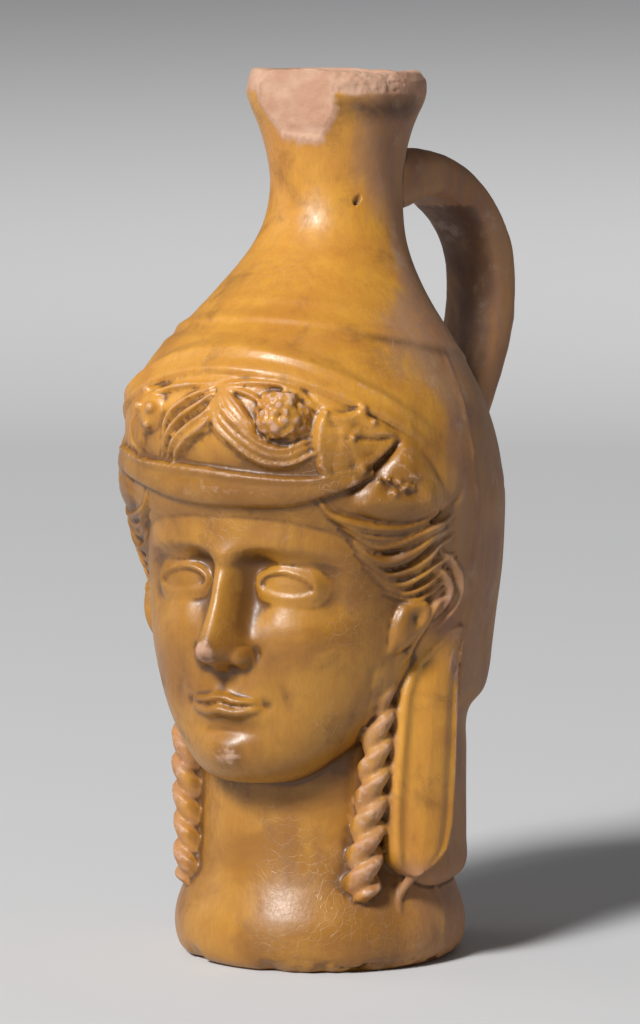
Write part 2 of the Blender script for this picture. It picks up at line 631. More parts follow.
def berryTree():
    # berries set evenly over a ball, each a little different
    tree, ids = nodeTree("berryCluster", [
        ("Path", "NodeSocketGeometry", None), ("Ball Radius", "NodeSocketFloat", 0.0046),
        ("Berry Radius", "NodeSocketFloat", 0.0013), ("Spacing", "NodeSocketFloat", 0.0019),
        ("Seed", "NodeSocketInt", 3), ("Material", "NodeSocketMaterial", None)])
    link = tree.links.new
    enter = addNode(tree, "NodeGroupInput").outputs
    ball = addNode(tree, "GeometryNodeMeshIcoSphere")
    ball.inputs["Subdivisions"].default_value = 4
    scatter = addNode(tree, "GeometryNodeDistributePointsOnFaces", distribute_method="POISSON")
    scatter.inputs["Density Max"].default_value = 3.0e6
    berry = addNode(tree, "GeometryNodeMeshIcoSphere")
    berry.inputs["Subdivisions"].default_value = 3
    vary = addNode(tree, "FunctionNodeRandomValue", data_type="FLOAT")
    vary.inputs[2].default_value = 0.55
    vary.inputs[3].default_value = 1.2
    place = addNode(tree, "GeometryNodeInstanceOnPoints")
    both = addNode(tree, "GeometryNodeJoinGeometry")
    link(enter["Ball Radius"], ball.inputs["Radius"])
    link(ball.outputs["Mesh"], scatter.inputs["Mesh"])
    link(enter["Spacing"], scatter.inputs["Distance Min"])
    link(enter["Seed"], scatter.inputs["Seed"])
    link(enter["Seed"], vary.inputs["Seed"])
    link(enter["Berry Radius"], berry.inputs["Radius"])
    link(scatter.outputs["Points"], place.inputs["Points"])
    link(berry.outputs["Mesh"], place.inputs["Instance"])
    link(vary.outputs[1], place.inputs["Scale"])
    link(place.outputs["Instances"], both.inputs[0])
    link(ball.outputs["Mesh"], both.inputs[0])
    endTree(tree, both.outputs[0], enter["Material"])
    return tree, ids


def runTree(piece, treeAndIds, values):
    tree, ids = treeAndIds
    modifier = piece.modifiers.new(tree.name, "NODES")
    modifier.node_group = tree
    for label, value in values.items():
        modifier[ids[label]] = value
    return bakeMesh(piece)


def pathPiece(name, points, girths):
    # a row of joined points carrying the half thickness at each
    piece = meshObject(name, points, [])
    mesh = piece.data
    mesh.edges.add(len(points) - 1)
    mesh.edges.foreach_set("vertices", np.array([[n, n + 1] for n in range(len(points) - 1)]).ravel())
    mesh.update()
    girth = mesh.attributes.new("girth", "FLOAT", "POINT")
    girth.data.foreach_set("value", np.array(girths, np.float32) * mm)
    return piece


def strandPath(way, count=14):
    # way is degrees, height, half thickness, lift of the middle line
    t = np.linspace(0, len(way) - 1, count)
    rows = curveThrough([[n, *point] for n, point in enumerate(way)])(t)
    degrees, z, girth, lift = rows.T
    lift = lift + surfaceLift(degrees, z) - 0.3 * girth
    return onWall(degrees, z, lift), girth


# each strand is a row of degrees, height, half thickness and lift of its middle line
hairNear = [
    [(-0.2, 122.5, 0.6, 0), (0, 119.4, 1.1, 0.3), (1.6, 116.2, 1.3, 0.6), (7, 113, 1.4, 0.7),
     (12.3, 110.4, 1.5, 0.7), (18, 108.9, 1.5, 0.6), (25, 109.2, 1.4, 0.4), (30.5, 111, 0.9, 0)],
    [(0.4, 122.4, 0.5, 0), (1.6, 118.8, 0.9, 0.5), (5.6, 115.7, 1, 0.8), (10.6, 113.1, 1.1, 0.9),
     (16.4, 110.9, 1.1, 0.9), (22.5, 110.3, 1, 0.6), (28, 112, 0.7, 0.1)],
    [(0.6, 123.4, 0.6, 0), (2, 120.9, 1.1, 0.4), (4.6, 119, 1.3, 0.7), (7.6, 117.2, 1.3, 0.8),
     (11, 115, 1.3, 0.8), (16, 112.7, 1.2, 0.7), (21.5, 111.8, 1.1, 0.5), (27.5, 113.2, 0.8, 0)],
    [(1.8, 124, 0.5, 0), (4.6, 121.4, 0.8, 0.5), (8.2, 118.9, 0.9, 0.8), (12, 116.2, 0.9, 0.7),
     (15.5, 114.3, 0.7, 0.2)],
    [(2.8, 124.4, 0.6, 0), (6.2, 122.2, 1, 0.4), (9.4, 120, 1.1, 0.6), (12.2, 117.4, 1, 0.4),
     (14, 115.4, 0.7, 0)],
    [(1.5, 124.8, 0.6, 0), (5.5, 125.3, 0.9, 0.2), (12.6, 125.6, 1, 0.3), (19.9, 125.2, 1, 0.3),
     (26.2, 123.8, 0.9, 0.2), (31, 121, 0.7, 0)],
    [(3.6, 124.2, 0.5, 0), (8, 123.8, 0.8, 0.3), (12.6, 122.6, 0.8, 0.2), (15, 121, 0.5, 0)],
]
hairFar = [
    [(0.6, 119.8, 0.6, 0), (2, 117.8, 1.1, 0.4), (4, 116.3, 1.4, 0.7), (9.4, 113.7, 1.5, 0.7),
     (13.6, 110.8, 1.3, 0.4), (15.4, 108.8, 0.8, 0)],
    [(1, 121.4, 0.6, 0), (2.9, 119, 1.1, 0.5), (8.5, 116.2, 1.3, 0.8), (14.1, 113.2, 1.2, 0.6),
     (17.7, 110.2, 0.8, 0)],
    [(1.4, 123, 0.6, 0), (5.5, 120.7, 1.1, 0.5), (11.4, 118, 1.2, 0.7), (16.6, 114.7, 1.1, 0.5),
     (20.2, 110.6, 0.8, 0)],
    [(2, 124, 0.6, 0), (8.3, 122.3, 1, 0.4), (14.8, 119.6, 1, 0.5), (18.5, 116.6, 0.9, 0.3),
     (20.2, 113.6, 0.6, 0)],
    [(3, 125, 0.6, 0), (11.7, 124.4, 1.1, 0.3), (20.7, 123.3, 1.1, 0.3), (30.1, 120.9, 1, 0.2),
     (36, 117, 0.7, 0)],
    [(30, 121.6, 0.6, 0), (36, 119.4, 1, 0.3), (40.4, 115.6, 1.2, 0.4), (39, 111.8, 1.2, 0.4),
     (33, 109.8, 0.8, 0.2)],
]
templeHair = [
    [(32.6, 100.6, 0.7, 0), (35.7, 98.2, 1.1, 0.3), (42, 96.4, 1.3, 0.6), (50, 95.2, 1.3, 0.7),
     (57, 95, 1.3, 0.7), (63.3, 95.9, 1.2, 0.5), (70.6, 98.1, 0.8, 0)],
    [(36, 97.6, 0.6, 0), (42.2, 94.9, 1, 0.4), (45.6, 93.6, 1.1, 0.5), (52.2, 92.8, 1.1, 0.6),
     (57.5, 93.2, 0.9, 0.3), (63, 94.4, 0.6, 0)],
    [(40, 95, 0.5, 0), (45.7, 92.3, 0.9, 0.4), (50.8, 91, 1.1, 0.7), (57, 91.7, 1.4, 0.9),
     (62, 93, 1.4, 0.8), (70.7, 95.1, 1.1, 0.4), (75.5, 96.6, 0.6, 0)],
    [(43, 92.4, 0.6, 0), (45.4, 90.6, 1, 0.5), (49.5, 88.7, 1.4, 0.8), (54.6, 87.9, 1.6, 1),
     (59.3, 88.8, 1.7, 1), (64.1, 90.6, 1.5, 0.8), (69, 92.7, 1.2, 0.5), (75, 94.2, 0.7, 0)],
    [(45.3, 89.7, 0.5, 0), (48.3, 87.7, 0.8, 0.4), (55.1, 85.2, 1.1, 0.7), (61.7, 86, 1.3, 0.8),
     (68.1, 88.4, 1.2, 0.6), (72.2, 91, 0.9, 0.3), (77, 92.6, 0.6, 0)],
    [(48, 87, 0.5, 0), (53.4, 84, 0.9, 0.4), (60.5, 83, 1.1, 0.7), (66.8, 84.9, 1.1, 0.7),
     (72, 87, 0.9, 0.4), (78.5, 88.6, 0.6, 0)],
    [(51.5, 84.4, 0.5, 0), (56.6, 82.1, 0.9, 0.4), (62.3, 81, 1, 0.6), (69, 82.6, 0.9, 0.5),
     (74.6, 85.6, 0.6, 0)],
    [(56, 80.9, 0.5, 0), (60.4, 79.8, 0.8, 0.3), (65.4, 79.6, 0.8, 0.4), (70.3, 80.6, 0.7, 0.2),
     (73.5, 82, 0.5, 0)],
    [(73.4, 89.4, 0.6, 0), (77.4, 87.2, 1.1, 0.4), (81, 84, 1.3, 0.5), (82, 80.4, 1.3, 0.5),
     (80, 76.8, 1.2, 0.4), (76.4, 73.8, 0.7, 0)],
    [(70.6, 86.4, 0.6, 0), (74.2, 84.6, 1.1, 0.5), (77.2, 82, 1.2, 0.6), (77, 78.8, 1.1, 0.5),
     (74, 75.6, 0.7, 0)],
    [(76, 79.4, 0.7, 0.1), (72.8, 77.8, 1.2, 0.6), (70, 74.4, 1.3, 0.8), (67.3, 70.6, 1.2, 0.7),
     (64, 66.4, 0.8, 0)],
]


combPaths = []  # the strands' middle lines, for the comb marks
comb = {"apart": 1.5, "deep": 0.2, "reach": 2.4}


def combMarks(verts):
    # fine grooves that run along the nearest strand
    middle = np.concatenate(combPaths)
    along = np.concatenate([np.gradient(way, axis=0) for way in combPaths])
    along = along / np.linalg.norm(along, axis=1, keepdims=True)
    nearest = np.concatenate([((part[:, None, :] - middle[None]) ** 2).sum(-1).argmin(1)
                              for part in np.array_split(verts, max(1, len(verts) // 2000))])
    gap = verts - middle[nearest]
    outward = verts * np.array([1, 1, 0])
    outward = outward / np.linalg.norm(outward, axis=1, keepdims=True)
    offset = (gap * np.cross(along[nearest], outward)).sum(1)
    close = 1 - step(np.linalg.norm(gap, axis=1), comb["reach"] * 0.6, comb["reach"])
    return -comb["deep"] * close * (0.5 - 0.5 * np.cos(2 * math.pi * offset / comb["apart"]))


def hairStrands(tree):
    made = []
    for side, front in ((1, hairNear), (-1, hairFar)):
        for n, way in enumerate(front + templeHair):
            shift = 0.35 * math.sin(7.1 * n + side)  # the two sides were modelled by hand and differ a little
            slim = 1.0 if side > 0 or n < len(front) else 0.8
            thin, rise = (0.74, 0.3) if n < len(front) else (0.86, 0.35)
            rows = [(d + shift, z + 0.4 * shift, g * slim * thin, (l + rise * min(g, 1)) * slim)
                    for d, z, g, l in way]
            points, girth = strandPath(rows, 20)
            points[:, 0] *= side
            piece = pathPiece(f"strand{n}{hand(side)}", points, girth)
            made.append(runTree(piece, tree, {"Samples": 60, "Sides": 14}))
            numbered = np.column_stack([np.arange(len(points)), points])
            combPaths.append(curveThrough(numbered)(np.linspace(0, len(points) - 1, 2 * len(points))))
    return made


# the round of the pads and locks beside the throat

sidePads = {"radius": 32.2, "outer": 34.3, "inner": 22.0}
lappetEdges = [  # height, inner edge and outer edge in degrees
    [20.2, 66.0, 67.6], [21.6, 62.6, 71.6], [23.4, 59.6, 76.0], [26.7, 57.4, 80.6], [31.6, 56.8, 83.0],
    [41.3, 57.6, 84.6], [50.9, 59.4, 85.6], [58, 60.9, 86.2], [62, 63.2, 86.4], [66, 68.0, 86.4],
    [70, 75.0, 86.0], [73, 81.4, 84.4],
]


def padPoint(degrees, z, radius):
    angle = np.radians(degrees)
    return np.stack([radius * np.sin(angle), -radius * np.cos(angle), z + 0 * angle], -1)


def lappet(side):
    z, turn = grid(lappetEdges[0][0], lappetEdges[-1][0], 150, 96)
    inner, outer = np.moveaxis(curveThrough(lappetEdges)(z), -1, 0)
    across, out = np.cos(turn), np.sin(turn)
    boxed = np.sign(across) * np.abs(across) ** 0.42
    boxedOut = np.sign(out) * np.abs(out) ** 0.42
    degrees = 0.5 * (inner + outer) + 0.5 * (outer - inner) * boxed
    t = (degrees - inner) / np.maximum(outer - inner, 0.5)
    p = sidePads
    tuck = step(z, 60, 73)  # the top slides under the hair
    foot = 1 - step(z, 20, 26)
    low, rise = (p["outer"] - 2.7, 5.0) if side > 0 else (p["outer"] - 4.4, 2.6)
    rOut = low + rise * np.clip(t / 0.9, 0, 1) ** 0.9 + 0.8 * tuck - 1.4 * foot
    radius = 0.5 * (rOut + p["inner"]) + 0.5 * (rOut - p["inner"]) * boxedOut
    face = boxedOut > 0.3
    roll = 0.9 * bell(t - 0.1, 0.09) - 0.45 * bell(t - 0.27, 0.09) + 0.3 * bell(t - 0.55, 0.16)
    roll = roll - 0.5 * bell(t - 0.82, 0.06) + 0.55 * bell(t - 0.94, 0.05)
    radius = radius + np.where(face, roll * (1 - 0.6 * tuck), 0)
    under = onWall(degrees, z)
    clear = 0.9 if side > 0 else 0.2
    proud = np.hypot(under[..., 0], under[..., 1]) + clear + np.where(face, roll, 0) * 0.5
    radius = np.where(boxedOut > 0, softMax(radius, proud * boxedOut + radius * (1 - boxedOut), 0.6), radius)
    points = padPoint(degrees, z, radius)
    points[..., 0] *= side
    return ringMesh("lappet" + hand(side), points[:, ::-1] if side > 0 else points)


lock = {"topDegrees": 57.6, "topZ": 68.0, "bottomDegrees": 47.0, "bottomZ": 15.4,
        "topGirth": 1.7, "bottomGirth": 2.5, "turns": 4.3, "apart": 0.62, "flatness": 1.2, "lean": 0.5}


def corkscrewLock(side, tree):
    t = np.linspace(0, 1, 22)
    degrees = lock["bottomDegrees"] + (lock["topDegrees"] - lock["bottomDegrees"]) * t
    z = lock["bottomZ"] + (lock["topZ"] - lock["bottomZ"]) * t
    points = padPoint(degrees, z, sidePads["radius"] - (3.4 if side > 0 else 4.2) + 1.4 * t)
    points[:, 0] *= side
    girth = lock["bottomGirth"] + (lock["topGirth"] - lock["bottomGirth"]) * t
    girth = girth * np.minimum(1, 0.5 + 14 * np.minimum(t, 1 - t))
    piece = pathPiece("lock" + hand(side), points, girth)
    return runTree(piece, tree, {"Samples": 160, "Sides": 28, "Strands Apart": lock["apart"],
                                 "Flatness": lock["flatness"], "Lean": lock["lean"] * side,
                                 "Turns": lock["turns"] * side})


earLobe = {"degrees": 62.6, "z": 73.6, "long": 7.0, "wide": 4.3, "thick": 2.9, "slope": 50.0}


def ear(side):
    # a leaf shaped lobe with a hollow in it, pointing down and forward
    e = earLobe
    v, turn = grid(0.02, 0.98, 44, 44)
    v = v * math.pi
    along = -np.cos(v)
    girth = np.sin(v) * (1 + 0.28 * along) * (1 - 0.25 * bell(along + 1, 0.5))
    across, out = girth * np.cos(turn), girth * np.sin(turn)
    slope = math.radians(e["slope"])
    u = e["long"] * along * math.cos(slope) - e["wide"] * across * math.sin(slope)
    w = e["long"] * along * math.sin(slope) + e["wide"] * across * math.cos(slope)
    degrees = e["degrees"] + u / 0.66
    z = e["z"] + w
    lift = 0.6 + e["thick"] * out + surfaceLift(degrees, z)
    dent = 1.3 * bell(np.hypot((along - 0.42) / 0.42, across / 0.42), 1.0)
    lift = lift - np.where(out > 0, dent, 0)
    points = onWall(degrees, z, lift)
    points[..., 0] *= side
    return ringMesh("ear" + hand(side), points if side > 0 else points[:, ::-1])


corymb = {"degrees": 20.9, "z": 118.4, "ballRadius": 4.9, "berryRadius": 1.1, "spacing": 1.5, "sink": 1.3}


def berryBall(side, tree):
    # the near corymb is a rough knob, the far one a low dome worn almost smooth
    c = corymb
    near = side > 0
    piece = meshObject("corymb" + hand(side), [(0, 0, 0)], [])
    runTree(piece, tree, {"Ball Radius": (c["ballRadius"] if near else 5.6) * mm, "Seed": 4 + side,
                          "Berry Radius": (c["berryRadius"] if near else 1.1) * mm,
                          "Spacing": (c["spacing"] if near else 3.6) * mm})
    degrees = c["degrees"] if near else -27.5
    centre = onWall(np.array(degrees), np.array(c["z"]), -c["sink"] if near else -2.9) * mm
    piece.data.transform(Matrix.Translation(Vector(centre)))
    return piece


# beads and crumbs on the wreath: degrees, height, lift, radius
beads = [
    (34.2, 119.4, 2.2, 1.0), (45.6, 120.2, 2.2, 1.1), (48.8, 117.2, 2.0, 1.1), (45.4, 107.6, 2.0, 1.0),
    (42.3, 114.2, 2.0, 0.8), (32.4, 112.2, 1.8, 1.1), (33.0, 108.6, 1.8, 0.9), (54.3, 102.6, 2.6, 1.2),
    (50.2, 106.0, 2.2, 0.6), (52.7, 105.6, 2.5, 0.7), (55.6, 104.9, 2.7, 0.7), (58.2, 104.4, 2.8, 0.8),
    (60.0, 103.9, 2.8, 0.6), (56.8, 103.7, 2.7, 0.6),
]


def beadTree():
    # a small ball on each point, as large as its girth
    tree, ids = nodeTree("beads", [
        ("Points", "NodeSocketGeometry", None), ("Subdivisions", "NodeSocketInt", 3),
        ("Material", "NodeSocketMaterial", None)])
    link = tree.links.new
    enter = addNode(tree, "NodeGroupInput").outputs
    girth = addNode(tree, "GeometryNodeInputNamedAttribute", data_type="FLOAT")
    girth.inputs["Name"].default_value = "girth"
    ball = addNode(tree, "GeometryNodeMeshIcoSphere")
    ball.inputs["Radius"].default_value = 1.0
    place = addNode(tree, "GeometryNodeInstanceOnPoints")
    link(enter["Subdivisions"], ball.inputs["Subdivisions"])
    link(enter["Points"], place.inputs["Points"])
    link(ball.outputs["Mesh"], place.inputs["Instance"])
    link(girth.outputs["Attribute"], place.inputs["Scale"])
    endTree(tree, place.outputs["Instances"], enter["Material"])
    return tree, ids


def wreathBeads(side, tree):
    rows = np.array(beads if side > 0 else beads[1:8:2])
    lift = rows[:, 2] * (1 if side > 0 else wreath["farSide"]) - 0.8 * rows[:, 3]
    points = onWall(rows[:, 0], rows[:, 1], lift)
    points[:, 0] *= side
    piece = pathPiece("beads" + hand(side), points, 0.9 * rows[:, 3])
    return runTree(piece, tree, {})


def dripStrand(tree):
    # a runnel of glaze from the tip of the near lappet on to the foot
    rows = np.array([(71, 23, 0.9, 32.6), (69.5, 20.4, 1.1, 31.2), (67, 17.6, 1.0, 29.6),
                     (64.6, 15.2, 0.8, 29.4), (63.7, 12.2, 0.5, 30.4)])
    piece = pathPiece("runnel", padPoint(rows[:, 0], rows[:, 1], rows[:, 3]), rows[:, 2])
    return runTree(piece, tree, {"Samples": 30, "Sides": 12})


# the strap handle behind

handle = {"turn": 17.0, "width": 16.4, "thickness": 10.4, "power": 3.0}
handleLine = [
    [9.5, 165.6], [20, 167], [28, 165.8], [34.6, 161.8], [39.8, 156], [43, 149.4], [44, 142],
    [43.2, 134], [40.7, 126.4], [36.9, 118.4], [32.6, 110.6], [28.5, 103], [25, 97.5],
]


def strapHandle():
    rows, columns = 170, 72
    t = np.linspace(0, len(handleLine) - 1, rows)
    line = curveThrough([[n, *point] for n, point in enumerate(handleLine)])(t)
    ahead = np.gradient(line, axis=0)
    ahead /= np.linalg.norm(ahead, axis=1)[:, None]
    out = np.stack([-ahead[:, 1], ahead[:, 0]], 1)
    turn = np.linspace(0, 2 * math.pi, columns, endpoint=False)
    k = 2 / handle["power"]
    c = np.sign(np.cos(turn)) * np.abs(np.cos(turn)) ** k
    s = np.sign(np.sin(turn)) * np.abs(np.sin(turn)) ** k
    u = t / t[-1]
    flare = 1 + 0.35 * bell(u, 0.09) + 0.28 * bell(u - 1, 0.2)
    wide = handle["width"] / 2 * flare[:, None] * c[None, :]
    thick = handle["thickness"] / 2 * flare[:, None] * s[None, :]
    thick = thick - np.where(s[None, :] > 0, 0.7 * bell(wide, 4.2), 0)  # a shallow groove down its back
    reach = line[:, :1] + out[:, :1] * thick
    z = line[:, 1:] + out[:, 1:] * thick
    a = math.radians(handle["turn"])
    x = wide * math.cos(a) + reach * math.sin(a)
    y = -wide * math.sin(a) + reach * math.cos(a) + flaskSizes["spoutSetback"]
    return ringMesh("handle", np.stack([x, y, z], -1)[::-1])


# joining, melting and hollowing

hollowStations = [
    [6, 0, 17, 17, 17],
    [9, 0, 20.5, 20.5, 21],
    [20, 0, 21, 21, 25],
    [44, 0, 22, 20.5, 26],
    [54, 0, 24.5, 25, 28],
    [66, -0.5, 28, 31, 36],
    [84, -2, 31, 31.5, 38],
    [98, -3, 33.5, 31.5, 38],
    [112, -3.8, 33.2, 34, 35.2],
    [124, -3, 29, 32, 29],
    [131, -2, 25.4, 27.6, 24],
    [138, -0.4, 20.4, 20.6, 19.6],
    [146, 2.2, 14.8, 15, 14.6],
    [156, 5.6, 10.8, 10.8, 10.8],
    [165, 7, 9.8, 9.8, 9.8],
    [174, 7, 10.8, 10.8, 10.8],
    [183, 7, 13, 13, 13],
    [188.6, 7, 14.1, 14.1, 14.1],
    [190.2, 7, 15.4, 15.4, 15.4],
    [193, 7, 17, 17, 17],
]
lipFlake = {"angle": 2.0, "distance": 16.2, "lean": 3.6, "middleZ": 183.0}


def hollow():
    z, angle = grid(hollowStations[0][0], hollowStations[-1][0], 110, 96)
    points = ovalPoint(curveThrough(hollowStations)(z), angle, z)
    wobble = 0.25 * smoothNoise(points, 11, 5, 2)
    return ringMesh("hollow", ovalPoint(curveThrough(hollowStations)(z), angle, z, wobble))


def flakeBlock():
    # the fresh break in the lip: a slab whose face is uneven, with a lower facet
    n = 90
    across = np.linspace(-14, 14, n)
    up = np.linspace(-14, 14, n)
    x, z = np.meshgrid(across, up)
    face = np.stack([x, 0 * x, z], -1)
    rough = 0.13 * smoothNoise(face, 2.2, 11, 3) + 0.22 * smoothNoise(face, 9, 12, 1)
    facet = 0.1 * np.clip(-z - 4.4 - 0.12 * x, 0, 2.6) - 3.0 * np.clip(-z - 7.0 - 0.1 * x, 0, 2)
    facet = facet - 1.1 * np.clip(np.abs(x + 0.5) - 8.4, 0, 4)
    face[..., 1] = rough + facet
    backFace = face.copy()
    backFace[..., 1] = -16
    verts = np.concatenate([face.reshape(-1, 3), backFace.reshape(-1, 3)])
    faces = []
    for j in range(n - 1):
        for i in range(n - 1):
            a = j * n + i
            faces.append([a, a + n, a + n + 1, a + 1])
            b = a + n * n
            faces.append([b, b + 1, b + n + 1, b + n])
    rim = ([i for i in range(n)] + [j * n + n - 1 for j in range(1, n)]
           + [(n - 1) * n + i for i in range(n - 2, -1, -1)] + [j * n for j in range(n - 2, 0, -1)])
    for k in range(len(rim)):
        a, b = rim[k], rim[(k + 1) % len(rim)]
        faces.append([a, b, b + n * n, a + n * n])
    lean, turn = math.radians(lipFlake["lean"]), math.radians(lipFlake["angle"])
    y, z = verts[:, 1].copy(), verts[:, 2].copy()
    verts[:, 1] = y * math.cos(lean) - z * math.sin(lean)
    verts[:, 2] = y * math.sin(lean) + z * math.cos(lean)
    x, y = verts[:, 0].copy(), verts[:, 1].copy()
    verts[:, 0] = x * math.cos(turn) - y * math.sin(turn)
    verts[:, 1] = x * math.sin(turn) + y * math.cos(turn)
    verts += np.array([0, flaskSizes["spoutSetback"] - lipFlake["distance"], lipFlake["middleZ"]])
    return meshObject("flake", verts, faces)


def pockCut():
    bm = bmesh.new()
    bmesh.ops.create_icosphere(bm, subdivisions=3, radius=1.0)
    centre = onWall(np.array(49.0), np.array(162.5), 0.35)
    for v in bm.verts:
        x, y, z = v.co.x * 0.75, v.co.y * 1.0, v.co.z * 2.0
        tilt = math.radians(32)
        x, z = x * math.cos(tilt) + z * math.sin(tilt), -x * math.sin(tilt) + z * math.cos(tilt)
        v.co = Vector((centre[0] + x, centre[1] + y, centre[2] + z)) * mm
    mesh = bpy.data.meshes.new("pock")
    bm.to_mesh(mesh)
    bm.free()
    piece = bpy.data.objects.new("pock", mesh)
    bpy.context.scene.collection.objects.link(piece)
    return piece


def joinPieces(pieces, name):
    first = pieces[0]
    with bpy.context.temp_override(active_object=first, object=first, selected_editable_objects=pieces):
        bpy.ops.object.join()
    first.name = name
    return first


def melt(piece, passes):
    # rounds the relief as the glaze did, without shrinking the body
    mesh = piece.data
    verts, edges = meshArrays(mesh)
    count = len(verts)
    degree = np.bincount(edges.ravel(), minlength=count).astype(float)
    for n in range(passes):
        verts = verts + 0.55 * (neighbourMean(verts, edges, count, degree) - verts)
        if n % 3 == 2:
            verts = verts - 0.3 * (neighbourMean(verts, edges, count, degree) - verts)
    mesh.vertices.foreach_set("co", verts.ravel())
    mesh.update()


def roughen(piece):
    # broken and worn places: the eroded lip, the rough corymb, the nibbled seam and the uneven strap
    mesh = piece.data
    verts, _ = meshArrays(mesh)
    verts = verts / mm
    normals = np.empty(len(verts) * 3)
    mesh.vertex_normals.foreach_get("vector", normals)
    normals = normals.reshape(-1, 3)
    x, y, z = verts.T
    theta = np.degrees(np.arctan2(x, -(y - wallAt(wallHeight(z))[:, 0])))
    move = np.zeros(len(verts))
    near = z > 180
    v, t = verts[near], theta[near]
    eroded = step(t, 16, 30) * (1 - step(t, 72, 95)) * step(v[:, 2], 184.2, 185.2)
    worn = step(v[:, 2], 184, 186)
    grain = smoothNoise(v, 1.0, 51, 3) + 0.5 * smoothNoise(v, 3.0, 50, 2)
    move[near] += eroded * (0.24 * grain - 0.2) + worn * 0.16 * smoothNoise(v, 3.4, 52, 3)
    berry = onWall(np.array(corymb["degrees"]), np.array(corymb["z"]), 1.0)
    near = np.linalg.norm(verts - berry, axis=1) < 8
    v = verts[near]
    knob = 1 - step(np.linalg.norm(v - berry, axis=1), 5.8, 7.5)
    move[near] += knob * (0.36 * smoothNoise(v, 3.0, 53, 2) + 0.1 * smoothNoise(v, 0.9, 54, 2))
    near = (np.abs(np.abs(theta) - 86) < 7) & (z > 22) & (z < 74)
    v = verts[near]
    nibble = bell(np.abs(theta[near]) - 87, 3.4) * step(v[:, 2], 22, 30)
    move[near] -= nibble * 0.28 * np.clip(smoothNoise(v, 1.9, 55, 3) + 0.1, 0, 1)
    chip = bell(theta[near] - 85.5, 2.6) * bell(v[:, 2] - 64.5, 4.2)
    move[near] -= chip * (0.45 + 0.25 * smoothNoise(v, 1.6, 56, 2))
    reach = np.hypot(x, y)
    near = (z > 68) & (z < 128) & (np.abs(theta) < 92) & (reach > 26)
    move[near] += combMarks(verts[near])
    near = (np.abs(np.abs(theta) - 52) < 12) & (z > 14) & (z < 66) & (reach > 26) & (y < 0)
    v = verts[near]
    move[near] += 0.2 * smoothNoise(v, 2.6, 61, 3) * bell(np.abs(theta[near]) - 51, 7)
    near = (z > 0.3) & (z < 5) & (np.abs(theta - 55) < 60)
    v = verts[near]
    nibble = step(theta[near], 10, 40) * (1 - step(v[:, 2], 0.8, 3.6)) * (1 - step(theta[near], 90, 115))
    move[near] -= nibble * np.clip(0.9 * smoothNoise(v, 3.2, 62, 3) + 0.35, 0, 1.3)
    near = (y > 16) & (z > 100) & (np.hypot(x, y - 7) > 16)
    v = verts[near]
    move[near] += 0.22 * smoothNoise(v, 8, 57, 2) + 0.05 * smoothNoise(v, 1.8, 58, 2)
    near = (np.abs(theta - 56) < 9) & (np.abs(z - 104) < 4.5)
    v = verts[near]
    crumbs = bell(theta[near] - 56, 4.5) * bell(z[near] - 104, 2.2)
    move[near] += crumbs * 0.35 * smoothNoise(v, 1.5, 59, 3)
    verts = verts + move[:, None] * normals
    top = step(z, 186.5, 189.5)
    verts[:, 2] -= top * (0.35 + 0.3 * smoothNoise(np.stack([x, y, 0 * z], -1), 7, 60, 3)
                          + 0.35 * step(x, -6, 14)) * (1 - bell(x + 13, 5))
    verts[:, 2] = np.minimum(verts[:, 2], flaskSizes["rimHeight"])
    mesh.vertices.foreach_set("co", (verts * mm).ravel())
    mesh.update()


def makeFlask():
    print("main forms")
    sweep, berries, balls = sweepTree(), berryTree(), beadTree()
    forms = [outerWall(), bust(), head(), headband(), strapHandle()]
    print("wreath, hair and ribbons")
    forms += hairStrands(sweep)
    forms.append(dripStrand(sweep))
    for side in (1, -1):
        forms += [lappet(side), corkscrewLock(side, sweep), ear(side), berryBall(side, berries),
                  wreathBeads(side, balls)]
    flask = joinPieces(forms, "headFlask")
    remesh = flask.modifiers.new("remesh", "REMESH")
    remesh.mode = "VOXEL"
    remesh.voxel_size = flaskSizes["voxel"] * mm
    remesh.use_smooth_shade = True
    bakeMesh(flask)
    print("remeshed", len(flask.data.polygons))
    melt(flask, flaskSizes["meltPasses"])
    roughen(flask)
    quads = len(flask.data.polygons)
    thin = flask.modifiers.new("thin", "DECIMATE")
    thin.ratio = min(1.0, flaskSizes["triangles"] / (2.0 * quads))
    bakeMesh(flask)
    print("thinned", len(flask.data.polygons))
    for cutter in (hollow(), flakeBlock(), pockCut()):
        cut = flask.modifiers.new("cut", "BOOLEAN")
        cut.operation = "DIFFERENCE"
        cut.solver = "MANIFOLD"
        cut.object = cutter
        bakeMesh(flask)
        bpy.data.objects.remove(cutter)
    print("hollowed", len(flask.data.polygons))
    return flask


